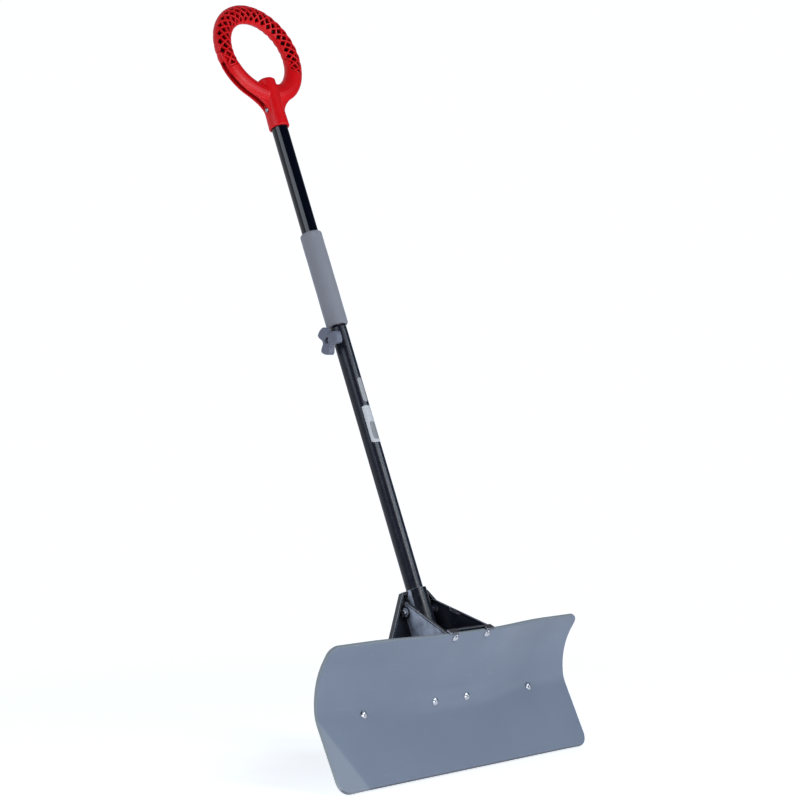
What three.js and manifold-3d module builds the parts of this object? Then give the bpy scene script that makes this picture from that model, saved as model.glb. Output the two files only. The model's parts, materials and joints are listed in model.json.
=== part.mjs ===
// Two-handed snow pusher: a curled poly blade on a moulded bracket, a telescoping
// shaft with a clamp knob and a foam grip, and a ring handle at the top.
// Millimetres, +Z up. The origin is the middle of the scraping face, the cut edge
// of the blade that runs on the ground. -Y is the side that faces the snow, and the
// shaft leans back towards +Y.

import * as THREE from 'three';
import { mergeVertices } from 'three/addons/utils/BufferGeometryUtils.js';
import Module from 'manifold-3d';

const wasm = await Module();
wasm.setup();

// ---------------------------------------------------------------- dimensions

const LEAN = THREE.MathUtils.degToRad(22.5); // shaft from vertical
const GAP = 0.3; // between any two pieces that touch in use

// Blade: a flat sheet, bent across its height and springing open at its ends.
const BLADE_WIDTH = 610;
const SHEET_LENGTH = 247; // developed, from scraping edge to top edge
const SHEET_THICKNESS = 7;
const SHEET_TILT = THREE.MathUtils.degToRad(5.8); // lower part, behind the shaft line
const BOTTOM_CORNER = 22;
const TOP_CORNER = 18;
const MIDDLE_BENDS = [{ start: 100, radius: 45, turn: 53 }]; // held by the bracket
const END_BENDS = [
  { start: 114, radius: 53, turn: 22.3 },
  { start: 134.6, radius: 122.5, turn: 38.3 },
];
const HELD_HALF_WIDTH = 45; // the sheet keeps the bracket's curve up to here
const FREE_HALF_WIDTH = 215; // and its own curve from here outwards

// Fasteners: quarter-inch carriage bolts with washers and hex nuts.
const BOLT_RADIUS = 3.1;
const BOLT_NECK = 6.4; // square under the head
const BOLT_HEAD_RADIUS = 6.8;
const BOLT_HEAD_HEIGHT = 2.8;
const NUT_ACROSS_FLATS = 11;
const NUT_HEIGHT = 5.5;
const WASHER_RADIUS = 8;
const WASHER_THICKNESS = 1.4;
const ROW_BOLT_REACH = 120; // along the sheet
const TOP_BOLT_REACH = 239;
const INNER_BOLT_X = 39;
const OUTER_BOLT_X = 203.5;

// Shaft: axis behind the front of the scraping edge, heights measured along the shaft.
const SHAFT_BACK = 17;
const TUBE_RADIUS = 14.75;
const TUBE_WALL = 1.5;
const TUBE_BOTTOM = 172;
const TUBE_RIM = 795.5;
const NECK_RADIUS = 12.2; // swaged end of the upper tube, inside the lower tube
const NECK_BOTTOM = 535;
const SHOULDER = 798;
const UPPER_TOP = 1262;
const BUSH_BORE_RADIUS = 7;
const BUSH_FLANGE = 12; // below the neck
const BUSH_SPIGOT = 22; // inside it

// Bracket
const RAIL_BOTTOM = 98;
const RAIL_TOP = 144;
const RAIL_DEPTH = 10;
const RAIL_HALF_WIDTH = 217;
const SOCKET_FLOOR = 22; // solid bottom under the tube
const SHEET_CLEARANCE = 0.5; // between the bracket and the back of the sheet
const SOCKET_RADIUS = 19.5;
const SOCKET_TOP = 314;
const ARM_TOP_X = 31;
const ARM_TOP = 312;
const ARM_FOOT_X = 187;
const ARM_FLANGE = 5; // rim of the A-frame, seen from the front
const ARM_DEPTH = 10; // of the rim, back from the shaft axis
const WEB_THICKNESS = 3; // behind the rim
const GUSSET_X = 32.5;
const GUSSET_Y = -1.5; // from the shaft axis
const GUSSET_SPLAY = THREE.MathUtils.degToRad(14.4);
const GUSSET_THICKNESS = 3.4;
const BEAD_DEPTH = 2.4; // along the gusset's top edge
const BEAD_OVERHANG = 0.8; // to each side of the gusset
const GUSSET_TOP = 294;
const GUSSET_REACH = 95; // forward, to the ear
const GUSSET_FOOT = 214; // height of its top edge there
const LIP_THICKNESS = 3.5;
const EAR_INNER_X = 34;
const EAR_OUTER_X = 54;
const EAR_RISE = 3.6; // over the sheet's top edge
const EAR_OVERHANG = 1.5; // in front of and behind the sheet
const SOCKET_BOLT_HEIGHT = 277;
const SOCKET_BOSS = 40.5; // end faces of the bolt's boss, from the shaft axis
const SOCKET_BOSS_RADIUS = 8;

// Foam grip, clamp and ring handle
const FOAM_RADIUS = 19.8;
const FOAM_BOTTOM = 799;
const FOAM_TOP = 978;
const CLAMP_HEIGHT = 772.3;
const CLAMP_SCREW_RADIUS = 3.9;
const BOSS_SPIGOT_RADIUS = 5.3; // of the threaded boss, in the tube's wall
const BOSS_FLANGE_RADIUS = 8;
const BOSS_FLANGE_THICKNESS = 3;
const BOSS_SADDLE = TUBE_RADIUS + 1.6; // underside of its flange
const CLAMP_HEAD_FLATS = 9;
const CLAMP_HEAD_HEIGHT = 4;
const KNOB_FACE = 37; // front of the knob from the shaft axis
const KNOB_THICKNESS = 14;
const KNOB_REACH = 25.3; // tip of a lobe
const KNOB_WAIST = 12;
const KNOB_HUB_RADIUS = 9;
const KNOB_RECESS = 9; // the screw's head sits down in the knob
const KNOB_RECESS_RADIUS = 5.8;
const RING_HEIGHT = 1336;
const RING_RADIUS = 82.5; // to the middle of the grip section
const RING_HALF_WIDTH = 18.2; // grip section in the plane of the ring
const RING_HALF_DEPTH = 14;
const CHEEK_END = THREE.MathUtils.degToRad(-24); // the grip's front and back reach down to here
const TONGUE_TIP = THREE.MathUtils.degToRad(-3); // and the body's tongues up to here between them
const TONGUE_HALF_WIDTH = 7.5;
const SHOULDER_START = THREE.MathUtils.degToRad(-31); // the shoulder grows out of the ring here
const SHOULDER_HALF_DEPTH = 8;
const SLOT_START = THREE.MathUtils.degToRad(-15.5);
const SLOT_HALF_WIDTH = 4.4;
const SLOT_DEPTH = 10;
const COLLAR_BOTTOM = 1187;
const COLLAR_TOP = 1284;
const COLLAR_RADIUS = 19;
const COLLAR_WALL = 2.5;
const HANDLE_SCREW_HEIGHT = 1222;
const HANDLE_SCREW_RADIUS = 2;
const HANDLE_SCREW_HEAD = 4.2;

// ------------------------------------------------------------------ materials

const plastic = (color, roughness) => new THREE.MeshStandardMaterial({ color, roughness, metalness: 0 });
const metal = (color, roughness) => new THREE.MeshStandardMaterial({ color, roughness, metalness: 1 });
const MATERIALS = {
  poly: plastic(0x7c8695, 0.5),
  nylon: plastic(0x23252f, 0.45),
  zinc: metal(0xc4c8d2, 0.3),
  mattePaint: plastic(0x2d2e3a, 0.5),
  glossPaint: plastic(0x0b0c12, 0.15),
  foam: plastic(0x878c94, 0.95),
  red: plastic(0xcd1923, 0.35),
  knob: plastic(0x8c8fa0, 0.5),
};

// ---------------------------------------------------------- geometry helpers

function toSolid(geometry) {
  const bare = geometry.clone();
  bare.deleteAttribute('normal');
  bare.deleteAttribute('uv');
  const merged = mergeVertices(bare, 1e-4);
  return new wasm.Manifold(
    new wasm.Mesh({
      numProp: 3,
      vertProperties: new Float32Array(merged.attributes.position.array),
      triVerts: new Uint32Array(merged.index.array),
    }),
  );
}

function toGeometry(solid) {
  const mesh = solid.getMesh();
  const geometry = new THREE.BufferGeometry();
  geometry.setAttribute('position', new THREE.BufferAttribute(mesh.vertProperties, 3));
  geometry.setIndex(new THREE.BufferAttribute(mesh.triVerts, 1));
  geometry.computeVertexNormals();
  return geometry;
}

const join = (...geometries) => geometries.map(toSolid).reduce((whole, next) => whole.add(next));

function without(solid, ...cutters) {
  return cutters.map(toSolid).reduce((left, cutter) => left.subtract(cutter), solid);
}

const onBothSides = (solid) => solid.add(solid.mirror([1, 0, 0]));

function evenly(from, to, steps) {
  return Array.from({ length: steps + 1 }, (_, i) => from + ((to - from) * i) / steps);
}

function box(x0, x1, y0, y1, z0, z1) {
  const block = new THREE.BoxGeometry(x1 - x0, y1 - y0, z1 - z0);
  return block.translate((x0 + x1) / 2, (y0 + y1) / 2, (z0 + z1) / 2);
}

// A turned piece from [radius, height] points, about +Z.
function turned(points, segments = 32) {
  const profile = points.map(([radius, height]) => new THREE.Vector2(radius, height));
  return new THREE.LatheGeometry(profile, segments).rotateX(Math.PI / 2);
}

function turnedRing(inner, outer, bottom, top, segments = 32) {
  return turned([[inner, bottom], [outer, bottom], [outer, top], [inner, top], [inner, bottom]], segments);
}

function rod(radius, bottom, top, segments = 32) {
  return turned([[0, bottom], [radius, bottom], [radius, top], [0, top]], segments);
}

// Points +Z geometry along -X, so that heights become distances to the left.
const facingLeft = (geometry) => geometry.rotateY(-Math.PI / 2);

function prism(points, bottom, top) {
  const shape = new THREE.Shape(points.map(([x, y]) => new THREE.Vector2(x, y)));
  return new THREE.ExtrudeGeometry(shape, { depth: top - bottom, bevelEnabled: false }).translate(0, 0, bottom);
}

// A plate drawn in X and Z, with its thickness along Y.
const uprightPlate = (points, front, back) => prism(points, -back, -front).rotateX(Math.PI / 2);

// ------------------------------------------------------------- bent sheet

// Place and direction of a bent section at a distance along the sheet.
// The direction is the angle from the shaft line, positive towards the back.
function bentSection(bends, distance) {
  let y = 0;
  let z = 0;
  let travelled = 0;
  let angle = SHEET_TILT;
  for (const bend of bends) {
    const turn = THREE.MathUtils.degToRad(bend.turn);
    const straight = Math.min(distance, bend.start) - travelled;
    y += straight * Math.sin(angle);
    z += straight * Math.cos(angle);
    travelled += straight;
    const turned = THREE.MathUtils.clamp((distance - bend.start) / bend.radius, 0, turn);
    y += bend.radius * (Math.cos(angle - turned) - Math.cos(angle));
    z += bend.radius * (Math.sin(angle) - Math.sin(angle - turned));
    travelled += bend.radius * turned;
    angle -= turned;
  }
  y += (distance - travelled) * Math.sin(angle);
  z += (distance - travelled) * Math.cos(angle);
  return { y, z, angle };
}

// A point of the sheet: x across, distance up the sheet, depth behind its front.
function onSheet(x, distance, depth) {
  const place = (bends) => {
    const section = bentSection(bends, distance);
    return new THREE.Vector3(
      x,
      section.y + depth * Math.cos(section.angle),
      section.z - depth * Math.sin(section.angle),
    );
  };
  const freed = THREE.MathUtils.smoothstep(Math.abs(x), HELD_HALF_WIDTH, FREE_HALF_WIDTH);
  return place(MIDDLE_BENDS).lerp(place(END_BENDS), freed);
}

// A slab lying on the sheet, from lists of places across and up the sheet.
function sheetSlab(across, along, front, back, halfWidth = () => 1) {
  const columns = across.length - 1;
  const rows = along.length - 1;
  const slab = new THREE.BoxGeometry(columns, rows, 1, columns, rows, 1).translate(columns / 2, rows / 2, 0.5);
  const position = slab.attributes.position;
  for (let i = 0; i < position.count; i++) {
    const distance = along[Math.round(position.getY(i))];
    const x = across[Math.round(position.getX(i))] * halfWidth(distance);
    // the box's far side (z = 1) faces the front of the sheet
    const depth = position.getZ(i) > 0.5 ? front : back;
    const point = onSheet(x, distance, depth);
    position.setXYZ(i, point.x, point.y, point.z);
  }
  return slab;
}

// The sheet's own grid, which every slab lying on it shares so that their facets match.
const cornerSteps = (radius) => evenly(0, Math.PI / 2, 4).map((a) => radius * (1 - Math.cos(a)));
const SHEET_COLUMNS = evenly(-BLADE_WIDTH / 2, BLADE_WIDTH / 2, 16);
const SHEET_ROWS = [
  ...cornerSteps(BOTTOM_CORNER),
  58,
  98,
  ...evenly(104, 146, 7),
  ...evenly(158, 218, 5),
  ...cornerSteps(TOP_CORNER).map((inset) => SHEET_LENGTH - inset).reverse(),
];
const gridBetween = (grid, from, to) => [from, ...grid.filter((place) => place > from && place < to), to];

// Turns a group so that +Z leads from the front of the sheet to its back.
function standOnSheet(object, x, distance, depth) {
  object.position.copy(onSheet(x, distance, depth));
  const through = onSheet(x, distance, 1).sub(onSheet(x, distance, 0)).normalize();
  object.quaternion.setFromUnitVectors(new THREE.Vector3(0, 0, 1), through);
  object.updateMatrix();
  return object;
}

function throughSheet(geometry, x, distance, depth = 0) {
  return geometry.applyMatrix4(standOnSheet(new THREE.Object3D(), x, distance, depth).matrix);
}

// ------------------------------------------------------------------ pieces

const bladeBolts = [
  { x: -OUTER_BOLT_X, reach: ROW_BOLT_REACH, grip: RAIL_DEPTH },
  { x: -INNER_BOLT_X, reach: ROW_BOLT_REACH, grip: RAIL_DEPTH },
  { x: INNER_BOLT_X, reach: ROW_BOLT_REACH, grip: RAIL_DEPTH },
  { x: OUTER_BOLT_X, reach: ROW_BOLT_REACH, grip: RAIL_DEPTH },
  { x: -INNER_BOLT_X, reach: TOP_BOLT_REACH, grip: LIP_THICKNESS },
  { x: INNER_BOLT_X, reach: TOP_BOLT_REACH, grip: LIP_THICKNESS },
];

function blade() {
  const rounded = (radius, inset) => radius - Math.sqrt(radius ** 2 - Math.max(0, radius - inset) ** 2);
  const halfWidth = (distance) => {
    const cut = rounded(BOTTOM_CORNER, distance) + rounded(TOP_CORNER, SHEET_LENGTH - distance);
    return 1 - (2 * cut) / BLADE_WIDTH;
  };
  const sheet = toSolid(sheetSlab(SHEET_COLUMNS, SHEET_ROWS, 0, SHEET_THICKNESS, halfWidth));
  const hole = BOLT_NECK / 2 + GAP;
  const holes = bladeBolts.map(({ x, reach }) =>
    throughSheet(box(-hole, hole, -hole, hole, -5, SHEET_THICKNESS + 5), x, reach),
  );
  return toGeometry(without(sheet, ...holes));
}

// Carriage bolt along +Z, with the seat of its head at z = 0.
function carriageBolt(length) {
  const sphere = (BOLT_HEAD_RADIUS ** 2 + BOLT_HEAD_HEIGHT ** 2) / (2 * BOLT_HEAD_HEIGHT);
  const rimAngle = Math.asin(BOLT_HEAD_RADIUS / sphere);
  const dome = evenly(0, rimAngle, 4).map((a) => [
    sphere * Math.sin(a),
    sphere - BOLT_HEAD_HEIGHT - sphere * Math.cos(a),
  ]);
  dome[0][0] = 0;
  const head = turned([...dome, [0, 0]], 20);
  const half = BOLT_NECK / 2;
  const neck = box(-half, half, -half, half, -0.5, SHEET_THICKNESS - 1);
  return toGeometry(join(head, neck, rod(BOLT_RADIUS, -0.5, length, 16)));
}

// Six-sided bar along +Z, from z = 0.
function hexPrism(acrossFlats, height) {
  const corner = acrossFlats / 2 / Math.cos(Math.PI / 6);
  const angles = evenly(0, 2 * Math.PI, 6).slice(0, 6);
  return prism(angles.map((a) => [corner * Math.cos(a), corner * Math.sin(a)]), 0, height);
}

function hexNut() {
  const bar = toSolid(hexPrism(NUT_ACROSS_FLATS, NUT_HEIGHT));
  return toGeometry(without(bar, rod(BOLT_RADIUS + GAP, -1, NUT_HEIGHT + 1, 16)));
}

// One side of the A-frame: a rim down its outer edge and a thin web behind it, for +X.
function bracketSide() {
  const foot = [ARM_FOOT_X, RAIL_BOTTOM + 4];
  const shoulder = [ARM_TOP_X, ARM_TOP];
  const crown = [SOCKET_RADIUS - 5, ARM_TOP + 1.5]; // inside the socket's wall
  const slope = Math.atan2(shoulder[1] - foot[1], foot[0] - shoulder[0]);
  const inward = [-ARM_FLANGE * Math.sin(slope), -ARM_FLANGE * Math.cos(slope)];
  const rim = [
    foot,
    shoulder,
    crown,
    [crown[0], crown[1] - ARM_FLANGE],
    [shoulder[0] + inward[0] / 2, shoulder[1] - ARM_FLANGE],
    [foot[0] + inward[0], foot[1] + inward[1]],
  ];
  const web = [[crown[0], RAIL_TOP - 6], [crown[0], ARM_TOP - 2], shoulder, foot];
  return [uprightPlate(rim, 0, ARM_DEPTH), uprightPlate(web, ARM_DEPTH - WEB_THICKNESS, ARM_DEPTH)];
}

// Side plate from the web forward to the ear, for +X, with a bead on its top edge.
function gusset() {
  const top = [-3, GUSSET_TOP];
  const foot = [-GUSSET_REACH, GUSSET_FOOT];
  const toe = [-GUSSET_REACH - 3, GUSSET_FOOT - 10];
  const rear = ARM_DEPTH - WEB_THICKNESS / 2;
  const plate = [[rear, RAIL_BOTTOM + 12], [rear, GUSSET_TOP], top, foot, toe, [-20, RAIL_BOTTOM + 14]];
  const slope = Math.atan2(top[1] - foot[1], top[0] - foot[0]);
  const under = ([y, z]) => [y + BEAD_DEPTH * Math.sin(slope), z - BEAD_DEPTH * Math.cos(slope)];
  const bead = [top, foot, under(foot), under(top)];
  // drawn as y and z, then turned so that the thickness lies along X
  const standing = (points, half) => prism(points, -half, half).rotateX(Math.PI / 2).rotateZ(Math.PI / 2);
  const half = GUSSET_THICKNESS / 2;
  const layers = [standing(plate, half), standing(bead, half + BEAD_OVERHANG)];
  return layers.map((layer) => layer.rotateZ(GUSSET_SPLAY).translate(GUSSET_X, GUSSET_Y, 0));
}

function bracket() {
  const back = SHEET_THICKNESS + SHEET_CLEARANCE;
  const ontoShaft = (geometry) => geometry.translate(0, SHAFT_BACK, 0);
  const acrossShaft = (geometry) => ontoShaft(facingLeft(geometry).translate(0, 0, SOCKET_BOLT_HEIGHT));
  const sides = onBothSides(join(...[...bracketSide(), ...gusset()].map(ontoShaft)));
  const socket = ontoShaft(rod(SOCKET_RADIUS, TUBE_BOTTOM - SOCKET_FLOOR, SOCKET_TOP));
  const boss = acrossShaft(rod(SOCKET_BOSS_RADIUS, -SOCKET_BOSS, SOCKET_BOSS, 24));

  // The rail and the lip start inside the sheet, whose back face then cuts them to shape.
  const sink = 2;
  const across = (half) => gridBetween(SHEET_COLUMNS, -half, half);
  const railRows = gridBetween(SHEET_ROWS, RAIL_BOTTOM, RAIL_TOP);
  const rail = sheetSlab(across(RAIL_HALF_WIDTH), railRows, back - sink, back + RAIL_DEPTH);
  const lipRows = [SHEET_LENGTH - 33, SHEET_LENGTH + EAR_RISE];
  const lip = sheetSlab(across(EAR_OUTER_X), lipRows, back - sink, back + LIP_THICKNESS);
  const sheetRoom = sheetSlab(across(RAIL_HALF_WIDTH + 23), gridBetween(SHEET_ROWS, 90, 268), -22, back);
  const bore = ontoShaft(rod(TUBE_RADIUS + GAP, TUBE_BOTTOM - GAP, SOCKET_TOP + 5));
  const body = without(join(socket, boss, rail, lip).add(sides), sheetRoom, bore);

  const earRows = [SHEET_LENGTH + SHEET_CLEARANCE, SHEET_LENGTH + EAR_RISE];
  const ear = toSolid(sheetSlab([EAR_INNER_X, EAR_OUTER_X], earRows, -EAR_OVERHANG, back + EAR_OVERHANG));

  const shankHole = (bottom, top) => rod(BOLT_RADIUS + 0.4, bottom, top, 16);
  const boltHoles = bladeBolts.map(({ x, reach }) => throughSheet(shankHole(0, 90), x, reach));
  const nutRoom = bladeBolts.map(({ x, reach, grip }) =>
    throughSheet(rod(WASHER_RADIUS + 1.2, back + grip, back + grip + 12, 20), x, reach),
  );
  const crossHole = acrossShaft(shankHole(-SOCKET_BOSS - 5, SOCKET_BOSS + 5));
  const headRoom = (from, to) => acrossShaft(rod(SOCKET_BOSS_RADIUS, from, to, 24));
  const rooms = [headRoom(SOCKET_BOSS, SOCKET_BOSS + 5), headRoom(-SOCKET_BOSS - 30, -SOCKET_BOSS)];
  return toGeometry(without(body.add(onBothSides(ear)), bore, ...boltHoles, ...nutRoom, crossHole, ...rooms));
}

function lowerTube() {
  const wall = toSolid(turnedRing(TUBE_RADIUS - TUBE_WALL, TUBE_RADIUS, TUBE_BOTTOM, TUBE_RIM));
  const boltHole = facingLeft(rod(BOLT_RADIUS + 0.4, -20, 20, 16)).translate(0, 0, SOCKET_BOLT_HEIGHT);
  const clampHole = facingLeft(rod(BOSS_SPIGOT_RADIUS + GAP, 0, 20, 16)).translate(0, 0, CLAMP_HEIGHT);
  return toGeometry(without(wall, boltHole, clampHole));
}

function upperTube() {
  const inner = TUBE_RADIUS - TUBE_WALL;
  const neckInner = NECK_RADIUS - TUBE_WALL;
  const wall = toSolid(turned([
    [neckInner, NECK_BOTTOM],
    [NECK_RADIUS, NECK_BOTTOM],
    [NECK_RADIUS, SHOULDER - 2],
    [TUBE_RADIUS, SHOULDER + 1],
    [TUBE_RADIUS, UPPER_TOP],
    [inner, UPPER_TOP],
    [inner, SHOULDER + 2],
    [neckInner, SHOULDER - 1],
    [neckInner, NECK_BOTTOM],
  ]));
  const screwHole = facingLeft(rod(HANDLE_SCREW_RADIUS + 0.4, 0, 20, 12));
  return toGeometry(without(wall, screwHole.translate(0, 0, HANDLE_SCREW_HEIGHT)));
}

// Nylon plug in the end of the neck: its flange guides the neck in the lower tube.
function slideBush() {
  const guide = TUBE_RADIUS - TUBE_WALL - GAP;
  const spigot = NECK_RADIUS - TUBE_WALL - GAP;
  const bottom = NECK_BOTTOM - BUSH_FLANGE;
  const top = NECK_BOTTOM + BUSH_SPIGOT;
  return turned([
    [BUSH_BORE_RADIUS, bottom],
    [guide - 1, bottom],
    [guide, bottom + 1],
    [guide, NECK_BOTTOM - GAP],
    [spigot, NECK_BOTTOM - GAP],
    [spigot, top],
    [BUSH_BORE_RADIUS, top],
    [BUSH_BORE_RADIUS, bottom],
  ]);
}

function foamGrip() {
  const bore = TUBE_RADIUS + GAP;
  const round = 3.5;
  const end = (height, from, to) =>
    evenly(from, to, 4).map((a) => [FOAM_RADIUS - round + round * Math.cos(a), height + round * Math.sin(a)]);
  return turned([
    [bore, FOAM_BOTTOM],
    ...end(FOAM_BOTTOM + round, -Math.PI / 2, 0),
    ...end(FOAM_TOP - round, 0, Math.PI / 2),
    [bore, FOAM_TOP],
    [bore, FOAM_BOTTOM],
  ]);
}

// Threaded steel boss on the lower tube, standing along -X.
function clampBoss() {
  const bore = CLAMP_SCREW_RADIUS + GAP;
  const inside = TUBE_RADIUS - TUBE_WALL;
  const face = BOSS_SADDLE + BOSS_FLANGE_THICKNESS;
  return facingLeft(turned([
    [bore, inside],
    [BOSS_SPIGOT_RADIUS, inside],
    [BOSS_SPIGOT_RADIUS, BOSS_SADDLE],
    [BOSS_FLANGE_RADIUS, BOSS_SADDLE],
    [BOSS_FLANGE_RADIUS, face],
    [bore, face],
    [bore, inside],
  ], 20));
}

const pressurePad = () => facingLeft(rod(CLAMP_SCREW_RADIUS - 0.4, NECK_RADIUS + GAP, TUBE_RADIUS, 20));

// Screw of the knob, with its hex head down in the knob's face.
function clampScrew() {
  const seat = KNOB_FACE - KNOB_RECESS;
  const head = toGeometry(toSolid(hexPrism(CLAMP_HEAD_FLATS, CLAMP_HEAD_HEIGHT))).translate(0, 0, seat);
  const shank = rod(CLAMP_SCREW_RADIUS, TUBE_RADIUS + GAP, seat + 1.5, 20);
  return facingLeft(toGeometry(join(head, shank)));
}

// Knob with three squared lobes, facing -X.
function knob() {
  const lobes = 3;
  const steps = 48;
  const firstLobe = THREE.MathUtils.degToRad(25);
  const outline = evenly(0, 2 * Math.PI, steps).slice(0, steps).map((a) => {
    const lobe = THREE.MathUtils.smoothstep(Math.cos(lobes * a), -0.9, 0.45);
    const radius = KNOB_WAIST + (KNOB_REACH - KNOB_WAIST) * lobe;
    return new THREE.Vector2(radius * Math.cos(a + firstLobe), radius * Math.sin(a + firstLobe));
  });
  const edge = 1.2;
  const head = new THREE.ExtrudeGeometry(new THREE.Shape(outline), {
    depth: KNOB_THICKNESS - 2 * edge,
    bevelSize: edge,
    bevelOffset: -edge,
    bevelThickness: edge,
    bevelSegments: 1,
  }).translate(0, 0, KNOB_FACE - KNOB_THICKNESS + edge);
  const hub = rod(KNOB_HUB_RADIUS, BOSS_SADDLE + BOSS_FLANGE_THICKNESS + 2 * GAP, KNOB_FACE - 4, 24);
  const recess = rod(KNOB_RECESS_RADIUS, KNOB_FACE - KNOB_RECESS - GAP, KNOB_FACE + 5, 24);
  const bore = rod(CLAMP_SCREW_RADIUS + GAP, 0, KNOB_FACE, 20);
  return facingLeft(toGeometry(without(join(head, hub), recess, bore)));
}

// The ring handle is drawn about Y, the ring's own axis, with its middle at z = 0.
function wholeRing() {
  const points = 16;
  const section = evenly(0, 2 * Math.PI, points).map(
    (a) => new THREE.Vector2(RING_RADIUS + RING_HALF_WIDTH * Math.cos(a), RING_HALF_DEPTH * Math.sin(a)),
  );
  section[points].copy(section[0]);
  return toSolid(new THREE.LatheGeometry(section, 60));
}

// A wedge about Y between two angles, measured in the ring's plane from +X.
function wedge(from, to, halfDepth = 40) {
  const reach = 160;
  const fan = evenly(from, to, 8).map((a) => [reach * Math.cos(a), reach * Math.sin(a)]);
  return toSolid(uprightPlate([[0, 0], ...fan], -halfDepth, halfDepth));
}

// Round-ended slab at the middle of the ring's depth: where it breaks the ring's outer and
// inner surfaces it shows as the body's two tongues on that side.
function tongues(clearance) {
  const half = TONGUE_HALF_WIDTH + clearance;
  const roundCentre = TONGUE_TIP - TONGUE_HALF_WIDTH / RING_RADIUS;
  const slab = wedge(CHEEK_END - 0.1, roundCentre, half);
  const roundEnd = rod(half, 0, 160, 24).rotateY(Math.PI / 2 - roundCentre);
  return onBothSides(slab.add(toSolid(roundEnd)));
}

function ringGrip() {
  const end = CHEEK_END + GAP / RING_RADIUS;
  const above = wedge(end, Math.PI / 2).add(wedge(Math.PI / 2, Math.PI - end));
  const grip = wholeRing().intersect(above).subtract(tongues(GAP));
  return toGeometry(grip).translate(0, 0, RING_HEIGHT);
}

// Outer edge of the right shoulder: starts level with the ring's surface at the shoulder's
// depth, leaves along the tangent and runs down into the side of the collar.
function shoulderEdge() {
  const outer = RING_RADIUS + RING_HALF_WIDTH * Math.sqrt(1 - (SHOULDER_HALF_DEPTH / RING_HALF_DEPTH) ** 2);
  const [across, up] = [Math.cos(SHOULDER_START), Math.sin(SHOULDER_START)];
  const start = new THREE.Vector2(outer * across, outer * up);
  const leaving = new THREE.Vector2(up, -across).multiplyScalar(42);
  const end = new THREE.Vector2(COLLAR_RADIUS - 2, COLLAR_BOTTOM + 22 - RING_HEIGHT);
  const arriving = new THREE.Vector2(0, 34);
  return new THREE.CubicBezierCurve(start, start.clone().add(leaving), end.clone().add(arriving), end);
}

// Narrow slot cut into the outer edge of the right arm, along the ring and down the shoulder.
function edgeSlot() {
  const outer = RING_RADIUS + RING_HALF_WIDTH;
  const annulus = turnedRing(outer - SLOT_DEPTH, outer + 6, -SLOT_HALF_WIDTH, SLOT_HALF_WIDTH, 60);
  const overlap = 0.06; // radians that the slot on the ring runs on past the shoulder's start
  const stretch = wedge(SHOULDER_START - overlap, SLOT_START);
  const onRing = toSolid(annulus.rotateX(Math.PI / 2)).intersect(stretch);
  const edge = shoulderEdge();
  const lowest = 0.84; // of the way down the shoulder
  const offsetBy = (distance) => evenly(0, lowest, 10).map((t) => {
    const along = edge.getTangent(t);
    const point = edge.getPoint(t);
    return [point.x - distance * along.y, point.y + distance * along.x];
  });
  const band = [...offsetBy(6), ...offsetBy(-SLOT_DEPTH).reverse()];
  const onShoulder = toSolid(uprightPlate(band, -SLOT_HALF_WIDTH, SLOT_HALF_WIDTH));
  const tubeWall = rod(TUBE_RADIUS + COLLAR_WALL, -160, 0);
  return without(onRing.add(onShoulder), tubeWall);
}

// Lower part of the ring with the collar that takes the tube.
function handleBody() {
  const ring = wholeRing();
  const lowerHalf = ring.intersect(wedge(-Math.PI - CHEEK_END, CHEEK_END)).add(ring.intersect(tongues(0)));

  const outline = shoulderEdge().getPoints(12).map((point) => [point.x, point.y]);
  const innerCorner = [45, -61]; // just inside the ring's inner edge
  const rightSide = [innerCorner, ...outline];
  const leftSide = rightSide.map(([x, z]) => [-x, z]).reverse();
  const shoulders = uprightPlate([...rightSide, ...leftSide], -SHOULDER_HALF_DEPTH, SHOULDER_HALF_DEPTH);

  const collar = turned([
    [0, COLLAR_BOTTOM],
    [COLLAR_RADIUS - 1, COLLAR_BOTTOM],
    [COLLAR_RADIUS, COLLAR_BOTTOM + 1.5],
    [COLLAR_RADIUS - 0.8, COLLAR_BOTTOM + 30],
    [COLLAR_RADIUS - 2, COLLAR_TOP - 3],
    [COLLAR_RADIUS - 5, COLLAR_TOP],
    [0, COLLAR_TOP],
  ]);
  const arms = lowerHalf.add(toSolid(shoulders)).subtract(onBothSides(edgeSlot()));
  const whole = arms.translate([0, 0, RING_HEIGHT]).add(toSolid(collar));
  const bore = rod(TUBE_RADIUS + GAP, COLLAR_BOTTOM - 5, UPPER_TOP + GAP);
  const atScrew = (geometry) => facingLeft(geometry).translate(0, 0, HANDLE_SCREW_HEIGHT);
  const screwHole = atScrew(rod(HANDLE_SCREW_RADIUS + 0.4, 0, 30, 12));
  const screwRoom = atScrew(rod(HANDLE_SCREW_HEAD + 0.4, TUBE_RADIUS + COLLAR_WALL, 60, 16));
  return toGeometry(without(whole, bore, screwHole, screwRoom));
}

// Pan-head screw through the collar and the tube, pointing in from the left.
function handleScrew() {
  const seat = TUBE_RADIUS + COLLAR_WALL + GAP;
  const profile = [
    [0, NECK_RADIUS - 0.7],
    [HANDLE_SCREW_RADIUS, NECK_RADIUS - 0.7],
    [HANDLE_SCREW_RADIUS, seat],
    [HANDLE_SCREW_HEAD, seat],
    [HANDLE_SCREW_HEAD, seat + 1.8],
    [HANDLE_SCREW_HEAD - 1.6, seat + 2.8],
    [0, seat + 2.8],
  ];
  return facingLeft(turned(profile, 16));
}

// ---------------------------------------------------------------- assembly

const pusher = new THREE.Group();

// Everything in the shaft's frame: z runs up the shaft, y = 0 is the front of the scraping edge.
const leaning = new THREE.Group();
leaning.rotation.x = -LEAN;
const scrapingFace = onSheet(0, 0, SHEET_THICKNESS / 2).applyEuler(leaning.rotation);
leaning.position.copy(scrapingFace).negate();
pusher.add(leaning);

const shaft = new THREE.Group();
shaft.position.y = SHAFT_BACK;
leaning.add(shaft);

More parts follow.
